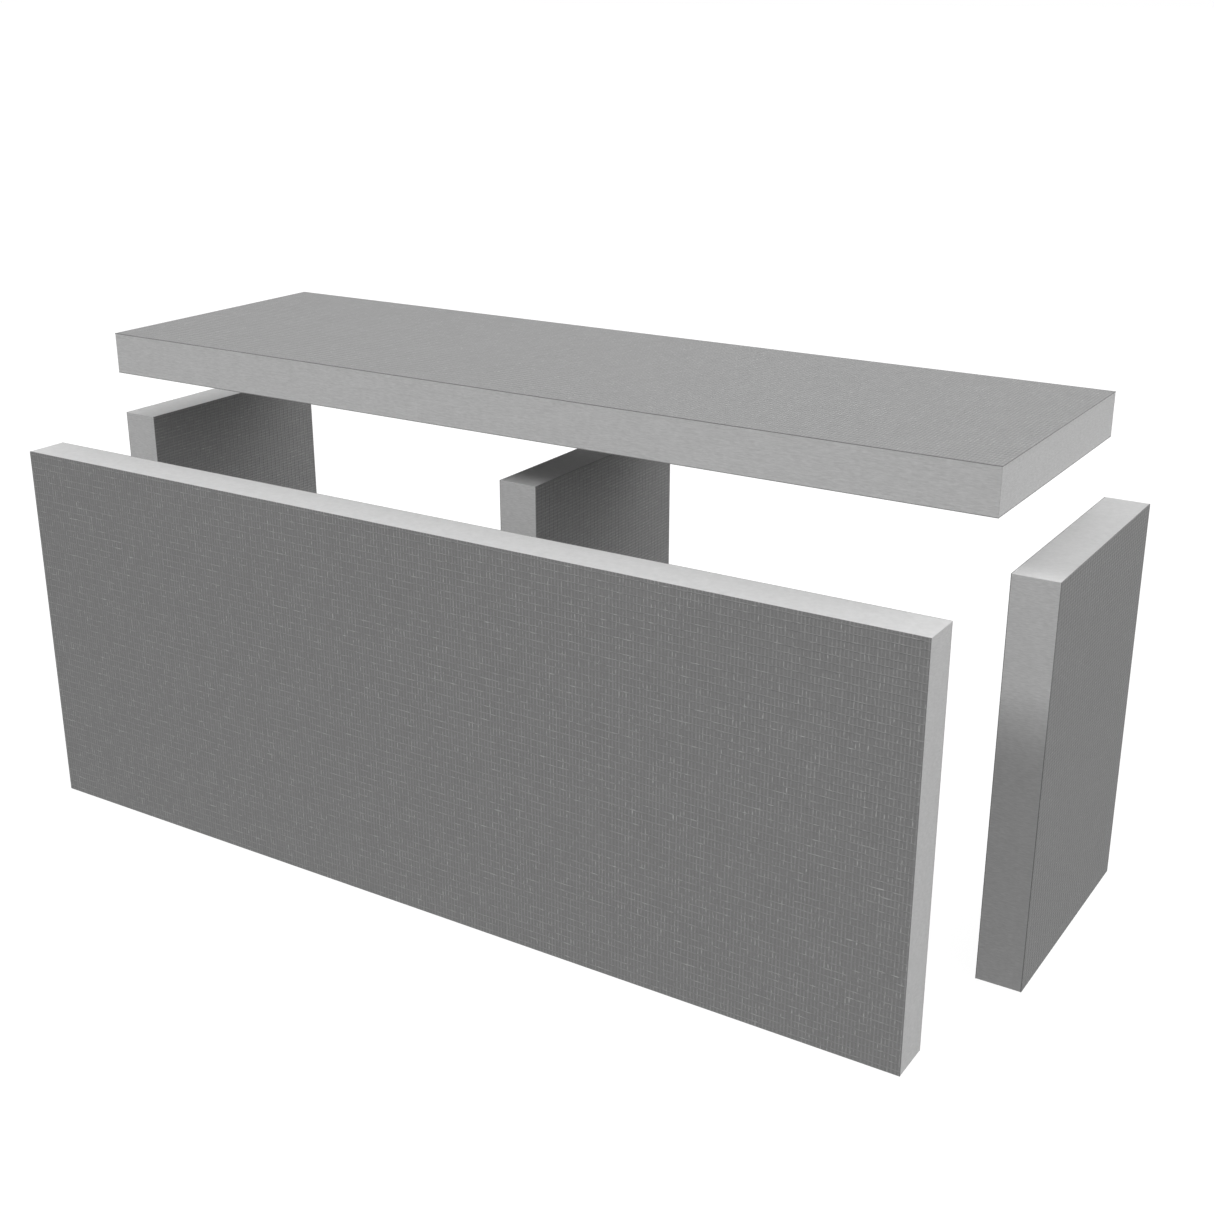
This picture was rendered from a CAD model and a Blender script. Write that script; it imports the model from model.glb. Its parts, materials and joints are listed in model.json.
"""Looks for a bench kit of tile backer board, pulled apart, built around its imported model.

Each board is a foam core between two coats of mortar, with a glass mesh bedded in the outside of each
coat. The CAD gives every layer its size and place. Here the cores get the fine lines that a saw leaves,
the coats the look of trowelled mortar, and each mesh is laid thread by thread in place of its plain
CAD sheet.
"""

import json
import math
from typing import NamedTuple

import bpy
import numpy as np
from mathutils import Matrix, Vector


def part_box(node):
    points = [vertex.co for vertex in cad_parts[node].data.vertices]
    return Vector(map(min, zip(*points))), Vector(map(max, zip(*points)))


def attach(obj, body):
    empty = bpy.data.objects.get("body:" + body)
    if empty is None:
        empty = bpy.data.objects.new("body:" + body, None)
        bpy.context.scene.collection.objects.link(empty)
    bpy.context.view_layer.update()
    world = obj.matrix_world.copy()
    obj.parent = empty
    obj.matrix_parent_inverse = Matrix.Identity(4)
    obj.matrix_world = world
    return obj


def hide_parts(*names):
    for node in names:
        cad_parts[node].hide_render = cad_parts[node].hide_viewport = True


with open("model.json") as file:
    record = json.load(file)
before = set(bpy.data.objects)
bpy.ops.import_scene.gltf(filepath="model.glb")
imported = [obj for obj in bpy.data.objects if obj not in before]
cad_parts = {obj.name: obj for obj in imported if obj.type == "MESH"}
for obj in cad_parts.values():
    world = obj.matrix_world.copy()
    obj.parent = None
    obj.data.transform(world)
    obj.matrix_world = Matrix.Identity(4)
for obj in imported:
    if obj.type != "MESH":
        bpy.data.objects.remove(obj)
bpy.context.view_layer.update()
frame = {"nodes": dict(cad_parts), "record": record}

MM = 0.001

# The camera: its place in metres, how far it is turned to the left and tipped down, and its lens.
CAMERA_PLACE = (1.05801, -1.54312, 0.98322)
CAMERA_YAW = 32.167
CAMERA_PITCH = 20.461
CAMERA_LENS = 50.0
SENSOR_WIDTH = 36.0

# The studio: soft lights far away, each as the direction it stands in, its strength and its focus.
SOFT_LIGHTS = (
    ((1, 1, 1), 2.37, 6),
    ((0, 1, 1), 1.75, 6),
    ((1, -1, 1), 1.50, 6),
    ((0, 1, 0.25), 0.97, 6),
    ((-1, -1, 0.25), 0.67, 6),
    ((0, 0, -1), 0.24, 1),
)

# The key light: the direction it stands in, its strength, and how wide it looks, in degrees.
KEY_DIRECTION = (-1, -1, 1)
KEY_STRENGTH = 1.29
KEY_SPREAD = 14.0

# The floor: half its width in metres, its own light, and its albedo.
FLOOR_REACH = 60.0
FLOOR_GLOW = 0.96
FLOOR_GREY = 0.10


class Threads(NamedTuple):
    """One set of parallel threads of the glass mesh: their shape, and the look of their skin of mortar."""

    pitch: float  # from one thread to the next
    foot: float  # width of a thread where it leaves the mortar
    crown: float  # width of its flat top
    height: float  # height of its top, as a share of the mesh's thickness
    piece: float  # length of the straight pieces that it is made of
    wander: float  # how far it strays to each side
    dark: float  # darkest albedo of its skin
    pale: float  # palest albedo of its skin
    patch: float  # length of the patches in which the skin is darker or paler
    bare_from: float  # level of a noise above which there is no skin


# Flat threads across each board, and thinner ones over them that run its length.
CROSS_THREADS = Threads(
    pitch=3.94 * MM,
    foot=2.1 * MM,
    crown=1.1 * MM,
    height=0.62,
    piece=30.0 * MM,
    wander=0.10 * MM,
    dark=0.283,
    pale=0.334,
    patch=24.0 * MM,
    bare_from=0.69,
)
LONG_THREADS = Threads(
    pitch=7.88 * MM,
    foot=1.4 * MM,
    crown=0.5 * MM,
    height=0.97,
    piece=12.0 * MM,
    wander=0.16 * MM,
    dark=0.275,
    pale=0.353,
    patch=9.0 * MM,
    bare_from=0.70,
)

# How the threads lie: the share of the mesh's thickness that the mortar between them fills, how deep their
# feet are buried in it, and how far from a cut their end pieces begin. Then how they stray: a slow sway
# that all threads of a face share, as its size and its wavelengths along and across the threads, and for
# each thread two waves of its own, as a length in metres and a share of its wander.
BED_SHARE = 0.5
THREAD_BURIED = 0.03 * MM
THREAD_LIP = 0.3 * MM
CLOTH_WANDER = 0.35 * MM
CLOTH_WAVE_ALONG = 0.9
CLOTH_WAVE_ACROSS = 1.7
THREAD_WAVES = ((0.23, 1.0), (0.061, 0.6))

# How plainly the threads show on each board, as shares of their full contrast with the mortar around them
# and of the bare glass's with its skin. The first contrast is about the tone of the whole face.
FACE_GREY = 0.29
THREADS_SHOW = {
    "front_panel": (1.0, 1.0),
    "seat": (0.5, 0.5),
    "left_support": (0.85, 0.8),
    "middle_support": (0.85, 0.8),
    "right_support": (0.4, 0.4),
}

# The sawn sides of a core: the step of their grid along the cut and across it, the depth of the saw lines,
# the rows beside each face of the core over which they grow from nothing, and the ease of the corners.
SAW_STEP = 12.0 * MM
SAW_ROW = 1.6 * MM
SAW_DEPTH = 0.10 * MM
SAW_MARGIN = 2.0
CORNER_EASE = 0.35 * MM

# What makes up the depth of a saw line, as shares of the full depth: a steady part, a part that comes and
# goes along the cut, a slow dip, and a little that is new at every point. Then the lengths, in metres, over
# which the second and the third repeat.
SAW_STEADY = 0.5
SAW_PASSING = 0.3
SAW_DIP = 0.2
SAW_RAGGED = 0.12
PASSING_LENGTH = 0.21
DIP_LENGTH = 0.55

# The specular level of every material.
LITTLE_GLOSS = 0.1

# The foam: its albedo, the size of its cells and how they are drawn out along X, Y and Z, how far they
# change its tone on an upright side and the share of that on a level one, the size of the clouds in its
# tone and how far they change it, and the depth of its relief.
FOAM_GREY = 0.60
FOAM_CELL = 0.95 * MM
FOAM_DRAWN = (6.0, 6.0, 1.0)
FOAM_GRAIN = 0.10
FOAM_LEVEL_SHARE = 0.4
FOAM_CLOUD = 18.0 * MM
FOAM_CLOUDING = 0.015
FOAM_RELIEF = 0.05 * MM

# The mortar: its albedo, the share of it that a sawn side has, the size of its sand and how far that
# changes its tone, the same for the film that the trowel leaves, and the depth of its relief.
MORTAR_GREY = 0.268
SAWN_MORTAR = 0.85
SAND_SIZE = 0.8 * MM
SAND_GRAIN = 0.12
FILM_SIZE = 35.0 * MM
FILM_CLOUDING = 0.025
MORTAR_RELIEF = 0.05 * MM

# The threads' skin: the width of its patches, the albedo of bare glass, the width and the length of the
# dashes in which the glass is bare, how soft their rims are as a part of the noise, and their relief.
SKIN_GRAIN = 3.2 * MM
BARE_GREY = 0.54
FIBRE_GRAIN = 0.55 * MM
FIBRE_DASH = 7.0 * MM
FIBRE_RIM = 0.08
FIBRE_RELIEF = 0.04 * MM

# The span of each noise that is spread over its tones. Beyond it the tone stays the same.
CELL_SPAN = (0.25, 0.75)
CLOUD_SPAN = (0.3, 0.7)
SAND_SPAN = (0.2, 0.8)
PATCH_SPAN = (0.35, 0.68)

# How squarely a surface has to face along an axis to count as facing it: from not at all to wholly.
LEVEL_SPAN = (0.3, 0.7)
COATED_SPAN = (0.4, 0.6)


# ------------------------------------------------------------------------------ the stage


def make_camera():
    """The camera, level from side to side."""
    camera = bpy.data.objects.new("camera", bpy.data.cameras.new("camera"))
    camera.data.lens = CAMERA_LENS
    camera.data.sensor_width = SENSOR_WIDTH
    camera.location = CAMERA_PLACE
    camera.rotation_euler = (math.radians(90 - CAMERA_PITCH), 0, math.radians(CAMERA_YAW))
    bpy.context.scene.collection.objects.link(camera)
    bpy.context.scene.camera = camera


def make_studio():
    """A white surround for the camera, and soft lights from a few directions for everything else."""
    world = bpy.data.worlds.new("studio")
    world.use_nodes = True
    bpy.context.scene.world = world
    tree = world.node_tree
    tree.nodes.clear()
    direction = tree.nodes.new("ShaderNodeTexCoord").outputs["Generated"]
    total = 0.0
    for towards, strength, focus in SOFT_LIGHTS:
        dot = tree.nodes.new("ShaderNodeVectorMath")
        dot.operation = "DOT_PRODUCT"
        tree.links.new(direction, dot.inputs[0])
        dot.inputs[1].default_value = Vector(towards).normalized()
        squarely = maths(tree, "MAXIMUM", dot.outputs["Value"], 0.0)
        lobe = maths(tree, "MULTIPLY", maths(tree, "POWER", squarely, focus), strength)
        total = maths(tree, "ADD", lobe, total)
    light = tree.nodes.new("ShaderNodeBackground")
    light.inputs["Color"].default_value = grey(1.0)
    tree.links.new(total, light.inputs["Strength"])
    white = tree.nodes.new("ShaderNodeBackground")
    white.inputs["Color"].default_value = grey(1.0)
    seen = tree.nodes.new("ShaderNodeLightPath").outputs["Is Camera Ray"]
    choice = tree.nodes.new("ShaderNodeMixShader")
    tree.links.new(seen, choice.inputs[0])
    tree.links.new(light.outputs[0], choice.inputs[1])
    tree.links.new(white.outputs[0], choice.inputs[2])
    tree.links.new(choice.outputs[0], tree.nodes.new("ShaderNodeOutputWorld").inputs["Surface"])


def make_key():
    """The one light that casts a readable shadow, high in front and to the left."""
    key = bpy.data.objects.new("key", bpy.data.lights.new("key", "SUN"))
    key.data.energy = KEY_STRENGTH
    key.data.angle = math.radians(KEY_SPREAD)
    key.rotation_euler = Vector(KEY_DIRECTION).to_track_quat("Z", "Y").to_euler()
    bpy.context.scene.collection.objects.link(key)


def make_floor():
    """A pale floor that is bright enough to look white. It throws no light back on the boards."""
    reach = FLOOR_REACH
    corners = [(-reach, -reach, 0), (reach, -reach, 0), (reach, reach, 0), (-reach, reach, 0)]
    material, _, shader = new_material("floor", roughness=1.0)
    shader.inputs["Base Color"].default_value = grey(FLOOR_GREY)
    shader.inputs["Emission Color"].default_value = grey(1.0)
    shader.inputs["Emission Strength"].default_value = FLOOR_GLOW
    floor = new_piece("floor", corners, [(0, 1, 2, 3)], [material])
    floor.visible_diffuse = False
    floor.visible_glossy = False
    floor.visible_transmission = False
    floor.visible_shadow = False


# ------------------------------------------------------------------------------ material nodes


def grey(value):
    """A neutral colour."""
    return (value, value, value, 1.0)


def new_material(name, roughness):
    """A material with one Principled shader and little gloss. Returns it, its tree and the shader."""
    material = bpy.data.materials.new(name)
    material.use_nodes = True
    tree = material.node_tree
    shader = tree.nodes["Principled BSDF"]
    shader.inputs["Roughness"].default_value = roughness
    shader.inputs["Specular IOR Level"].default_value = LITTLE_GLOSS
    return material, tree, shader


def maths(tree, operation, first, second):
    """A Math node on two inputs, each a number or another node's output. Returns its output."""
    node = tree.nodes.new("ShaderNodeMath")
    node.operation = operation
    for socket, value in zip(node.inputs, (first, second)):
        if isinstance(value, (int, float)):
            socket.default_value = value
        else:
            tree.links.new(value, socket)
    return node.outputs[0]


def noise(tree, size, detail, stretch=(1, 1, 1)):
    """Noise from 0 to 1 with grains of the size given in metres, drawn out by stretch along X, Y, Z."""
    place = tree.nodes.new("ShaderNodeTexCoord").outputs["Object"]
    mapping = tree.nodes.new("ShaderNodeMapping")
    tree.links.new(place, mapping.inputs["Vector"])
    mapping.inputs["Scale"].default_value = [1 / (size * s) for s in stretch]
    texture = tree.nodes.new("ShaderNodeTexNoise")
    texture.inputs["Scale"].default_value = 1.0
    texture.inputs["Detail"].default_value = detail
    tree.links.new(mapping.outputs["Vector"], texture.inputs["Vector"])
    return texture.outputs["Fac"]


def drawn_out(axis, length, width):
    """The stretch along X, Y, Z that makes noise of one width that long along an axis."""
    return [length / width if way == axis else 1.0 for way in range(3)]


def spread(tree, value, span, ends):
    """Spreads one span of a value evenly between two ends, and holds it at the ends outside."""
    node = tree.nodes.new("ShaderNodeMapRange")
    tree.links.new(value, node.inputs["Value"])
    node.inputs["From Min"].default_value = span[0]
    node.inputs["From Max"].default_value = span[1]
    node.inputs["To Min"].default_value = ends[0]
    node.inputs["To Max"].default_value = ends[1]
    return node.outputs["Result"]


def varied(tone, share):
    """The two ends of a tone that changes by a share of itself either way."""
    return tone * (1 - share), tone * (1 + share)


def facing(tree, axis):
    """How squarely a surface of the object faces along an axis, either way, from 0 to 1."""
    parts = tree.nodes.new("ShaderNodeSeparateXYZ")
    tree.links.new(tree.nodes.new("ShaderNodeTexCoord").outputs["Normal"], parts.inputs[0])
    return maths(tree, "ABSOLUTE", parts.outputs[axis], 0.0)


def relief(tree, shader, height, depth):
    """Bump from a height of 0 to 1, which stands for a depth in metres."""
    bump = tree.nodes.new("ShaderNodeBump")
    bump.inputs["Strength"].default_value = 1.0
    bump.inputs["Distance"].default_value = depth
    tree.links.new(height, bump.inputs["Height"])
    tree.links.new(bump.outputs["Normal"], shader.inputs["Normal"])


# ------------------------------------------------------------------------------ materials


def foam_material():
    """Pale closed-cell foam. Its cells are drawn out level, so an upright side shows more of their grain."""
    material, tree, shader = new_material("foam", roughness=0.85)
    cells = noise(tree, FOAM_CELL, detail=2.0, stretch=FOAM_DRAWN)
    clouds = noise(tree, FOAM_CLOUD, detail=3.0)
    grain = spread(tree, cells, CELL_SPAN, (-FOAM_GRAIN, FOAM_GRAIN))
    visible = spread(tree, facing(tree, axis=2), LEVEL_SPAN, (1.0, FOAM_LEVEL_SHARE))
    grain = maths(tree, "ADD", maths(tree, "MULTIPLY", grain, visible), 1.0)
    shade = spread(tree, clouds, CLOUD_SPAN, varied(FOAM_GREY, FOAM_CLOUDING))
    tree.links.new(maths(tree, "MULTIPLY", grain, shade), shader.inputs["Base Color"])
    relief(tree, shader, cells, FOAM_RELIEF)
    return material


def softened(tone, contrast):
    """A tone brought towards that of the whole face, to a share of its contrast with it."""
    return FACE_GREY + contrast * (tone - FACE_GREY)


def mortar_material(name, thin_axis, contrast):
    """Grey polymer mortar: sand grain, a soft unevenness left by the trowel, and darker where it is sawn."""
    material, tree, shader = new_material(name, roughness=0.9)
    sand = noise(tree, SAND_SIZE, detail=3.0)
    film = noise(tree, FILM_SIZE, detail=3.0)
    grain = spread(tree, sand, SAND_SPAN, varied(softened(MORTAR_GREY, contrast), SAND_GRAIN))
    shade = spread(tree, film, CLOUD_SPAN, varied(1.0, FILM_CLOUDING))
    side = spread(tree, facing(tree, thin_axis), COATED_SPAN, (SAWN_MORTAR, 1.0))
    colour = maths(tree, "MULTIPLY", maths(tree, "MULTIPLY", grain, shade), side)
    tree.links.new(colour, shader.inputs["Base Color"])
    relief(tree, shader, sand, MORTAR_RELIEF)
    return material


def thread_material(name, run_axis, threads, contrast, bareness):
    """Glass thread along one axis, under a thin skin of mortar that is worn off it in short dashes."""
    material, tree, shader = new_material(name, roughness=0.7)
    dark, pale = softened(threads.dark, contrast), softened(threads.pale, contrast)
    patches = noise(tree, SKIN_GRAIN, detail=1.0, stretch=drawn_out(run_axis, threads.patch, SKIN_GRAIN))
    fibres = noise(tree, FIBRE_GRAIN, detail=0.0, stretch=drawn_out(run_axis, FIBRE_DASH, FIBRE_GRAIN))
    skin = spread(tree, patches, PATCH_SPAN, (dark, pale))
    bare_span = (threads.bare_from, threads.bare_from + FIBRE_RIM)
    bare = spread(tree, fibres, bare_span, (0.0, bareness * (BARE_GREY - pale)))
    tree.links.new(maths(tree, "ADD", skin, bare), shader.inputs["Base Color"])
    relief(tree, shader, fibres, FIBRE_RELIEF)
    return material


def board_materials(board, thin, cross, long):
    """The mortar, long thread and cross thread materials of one board. Its two faces share them."""
    contrast, bareness = THREADS_SHOW[board]
    return [
        mortar_material(f"{board}_mortar", thin, contrast),
        thread_material(f"{board}_long_thread", long, LONG_THREADS, contrast, bareness),
        thread_material(f"{board}_cross_thread", cross, CROSS_THREADS, contrast, bareness),
    ]


def paint(node, material):
    """Gives a CAD node a material in place of its own."""
    mesh = frame["nodes"][node].data
    mesh.materials.clear()
    mesh.materials.append(material)


# ------------------------------------------------------------------------------ shapes


def new_piece(name, points, faces, materials, material_of_face=None, smooth=None):
    """A mesh object from its points and faces, with the material and the smoothness of each face."""
    mesh = bpy.data.meshes.new(name)
    mesh.from_pydata(points, [], faces)
    for material in materials:
        mesh.materials.append(material)
    if material_of_face is not None:
        mesh.polygons.foreach_set("material_index", material_of_face)
    if smooth is not None:
        mesh.polygons.foreach_set("use_smooth", smooth)
    mesh.update()
    piece = bpy.data.objects.new(name, mesh)
    bpy.context.scene.collection.objects.link(piece)
    return piece


def corners_of(node):
    """The lowest and the highest corner of a CAD node, as arrays."""
    low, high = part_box(node)
    return np.array(low), np.array(high)


def axes_of(node):
    """The axes of a layer, in order of its extents: through it, across it and along it."""
    low, high = corners_of(node)
    return [int(axis) for axis in np.argsort(high - low)]


def is_mirrored(first, second, third):
    """Whether three axes, each given by its number, make a left-handed set."""
    units = np.eye(3)
    return np.dot(np.cross(units[first], units[second]), units[third]) < 0


class Face:
    """One meshed face of a board: its axes, its outward side and its extent, all from the frame."""

    def __init__(self, node, core):
        self.low, self.high = corners_of(node)
        self.thin, self.cross, self.long = axes_of(node)
        core_low, core_high = corners_of(core)
        out = (self.low + self.high)[self.thin] > (core_low + core_high)[self.thin]
        self.sign = 1.0 if out else -1.0
        self.bed = self.low[self.thin] if out else self.high[self.thin]
        self.depth = self.high[self.thin] - self.low[self.thin]
        self.filled = BED_SHARE * self.depth


def lay_bed(face):
    """Points and faces of the mortar between the threads of one face, a slab as wide as the face."""
    low, high = face.low.copy(), face.high.copy()
    surface = face.bed + face.sign * face.filled
    low[face.thin] = min(face.bed, surface)
    high[face.thin] = max(face.bed, surface)
    sides = list(zip(low, high))
    points = [(x, y, z) for x in sides[0] for y in sides[1] for z in sides[2]]
    faces = [(0, 1, 3, 2), (4, 6, 7, 5), (0, 4, 5, 1), (2, 3, 7, 6), (0, 2, 6, 4), (1, 5, 7, 3)]
    return np.array(points), np.array(faces), np.zeros(len(faces), bool)


def thread_rings(start, end, piece):
    """Places along a thread at which its pieces meet, with short end pieces beside the two cuts."""
    count = int(round((end - start) / piece)) + 1
    inner = np.linspace(start + THREAD_LIP, end - THREAD_LIP, count)
    return np.concatenate([[start], inner, [end]])


def thread_middles(face, step, threads, rings, random):
    """The middle line of each parallel thread of one face, at each ring, all kept within the face."""
    half = threads.foot / 2
    room = face.high[step] - face.low[step] - 2 * half
    count = int(room / threads.pitch) + 1
    first = face.low[step] + half + random.uniform(0, room - (count - 1) * threads.pitch)
    straight = first + threads.pitch * np.arange(count)[:, None]
    along = rings[None, :]
    turns = along / CLOTH_WAVE_ALONG + straight / CLOTH_WAVE_ACROSS
    shared_phase = random.uniform(0, 6)
    sway = CLOTH_WANDER * np.sin(2 * np.pi * turns + shared_phase)
    for length, share in THREAD_WAVES:
        phase = random.uniform(0, 2 * np.pi, (count, 1))
        sway = sway + threads.wander * share * np.sin(2 * np.pi * along / length + phase)
    return np.clip(straight + sway, face.low[step] + half, face.high[step] - half)


def lay_threads(face, run, step, threads, random):
    """Points and faces of the parallel threads of one face, which run along one axis."""
    rings = thread_rings(face.low[run], face.high[run], threads.piece)
    middles = thread_middles(face, step, threads, rings, random)
    foot_level, crown_level = face.filled - THREAD_BURIED, threads.height * face.depth
    section = np.array(
        [
            (-threads.foot / 2, foot_level),
            (threads.foot / 2, foot_level),
            (threads.crown / 2, crown_level),
            (-threads.crown / 2, crown_level),
        ]
    )
    points = np.zeros((*middles.shape, 4, 3))
    points[..., run] = rings[None, :, None]
    points[..., step] = middles[..., None] + section[:, 0]
    points[..., face.thin] = face.bed + face.sign * section[:, 1]

    corner = np.arange(middles.size * 4).reshape(*middles.shape, 4)
    following = np.roll(corner, -1, axis=2)
    quads = [corner[:, :-1], following[:, :-1], following[:, 1:], corner[:, 1:]]
    sides = np.stack(quads, axis=-1).reshape(-1, 4)
    faces = np.concatenate([sides, corner[:, 0, ::-1], corner[:, -1]])
    if is_mirrored(step, face.thin, run) != (face.sign < 0):
        faces = faces[:, ::-1]
    smooth = np.arange(len(faces)) < len(sides)
    return points.reshape(-1, 3), faces, smooth


def make_mesh(node, core, body, materials, random):
    """The glass mesh of one face in its bed: threads across the board, with the long ones over them."""
    face = Face(node, core)
    parts = [
        lay_bed(face),
        lay_threads(face, face.long, face.cross, LONG_THREADS, random),
        lay_threads(face, face.cross, face.long, CROSS_THREADS, random),
    ]
    points, faces, smooth, which = [], [], [], []
    for slot, (part_points, part_faces, part_smooth) in enumerate(parts):
        faces.extend((part_faces + len(points)).tolist())
        points.extend(part_points.tolist())
        smooth.extend(part_smooth.tolist())
        which.extend([slot] * len(part_faces))
    piece = new_piece(f"{node}_threads", points, faces, materials, which, smooth)
    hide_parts(node)
    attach(piece, body)


def outline(low, high):
    """Points round a rectangle with eased corners, the way inwards at each, and its side and place there."""
    corners = [
        ((low[0], low[1]), (1, 1)),
        ((high[0], low[1]), (-1, 1)),
        ((high[0], high[1]), (-1, -1)),
        ((low[0], high[1]), (1, -1)),
    ]
    points, inwards, places = [], [], []
    for side, (corner, inward) in enumerate(corners):
        following = corners[(side + 1) % 4][0]
        along = side % 2
        sense = 1 if following[along] > corner[along] else -1
        begin = corner[along] + sense * CORNER_EASE
        end = following[along] - sense * CORNER_EASE
        way = [0.0, 0.0]
        way[1 - along] = inward[1 - along]
        for place in np.linspace(begin, end, int(abs(end - begin) / SAW_STEP) + 1):
            point = list(corner)
            point[along] = place
            points.append(point)
            inwards.append(way)
            places.append((side, place))
    return np.array(points), np.array(inwards), places


def wave(turns):
    """A wave between 0 and 1, at a place given in whole turns."""
    return 0.5 + 0.5 * np.sin(2 * np.pi * turns)


def saw_lines(places, rows, random):
    """The depth of the saw lines at each place round a core and each row through it, 0 at its faces."""
    from_face = np.minimum(np.arange(rows), np.arange(rows)[::-1])
    grown = np.minimum(1.0, from_face / SAW_MARGIN)
    depth = np.zeros((len(places), rows))
    lines = [random.uniform(0, 1, (3, rows)) for _ in range(4)]
    for index, (side, place) in enumerate(places):
        line, passing_start, dip_start = lines[side]
        passing = wave(place / PASSING_LENGTH + passing_start)
        dip = wave(place / DIP_LENGTH + dip_start)
        depth[index] = SAW_STEADY * line + SAW_PASSING * line * passing + SAW_DIP * dip
    depth += SAW_RAGGED * random.uniform(0, 1, depth.shape)
    return SAW_DEPTH * grown * depth


def make_core(node, body, material, random):
    """The foam core of one board: its size is the CAD's, and its four cut sides show the saw."""
    low, high = corners_of(node)
    thin, cross, long = axes_of(node)
    points, inwards, places = outline((low[long], low[cross]), (high[long], high[cross]))
    rows = int(round((high[thin] - low[thin]) / SAW_ROW)) + 1
    depth = saw_lines(places, rows, random)
    grid = np.zeros((len(points), rows, 3))
    grid[..., long] = points[:, None, 0] + inwards[:, None, 0] * depth
    grid[..., cross] = points[:, None, 1] + inwards[:, None, 1] * depth
    grid[..., thin] = np.linspace(low[thin], high[thin], rows)

    corner = np.arange(len(points) * rows).reshape(len(points), rows)
    following = np.roll(corner, -1, axis=0)
    quads = [corner[:, :-1], following[:, :-1], following[:, 1:], corner[:, 1:]]
    sides = np.stack(quads, axis=-1).reshape(-1, 4)
    faces = sides.tolist() + [corner[::-1, 0].tolist(), corner[:, -1].tolist()]
    if is_mirrored(long, cross, thin):
        faces = [face[::-1] for face in faces]
    piece = new_piece(f"{node}_sawn", grid.reshape(-1, 3).tolist(), faces, [material])
    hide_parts(node)
    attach(piece, body)


# ------------------------------------------------------------------------------ the bench kit


def make_boards():
    """Every board, layer by layer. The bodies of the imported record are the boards."""
    foam = foam_material()
    bodies = frame["record"]["behaviour"]["bodies"]
    for seed, (board, nodes) in enumerate(sorted(bodies.items())):
        random = np.random.default_rng(seed)
        core = f"{board}_core"
        make_core(core, board, foam, random)
        materials = board_materials(board, *axes_of(core))
        for node in sorted(nodes):
            if node.endswith("_mortar"):
                paint(node, materials[0])
            elif node.endswith("_mesh"):
                make_mesh(node, core, board, materials, random)


make_camera()
make_studio()
make_key()
make_floor()
make_boards()
bpy.context.scene.view_settings.view_transform = "Standard"
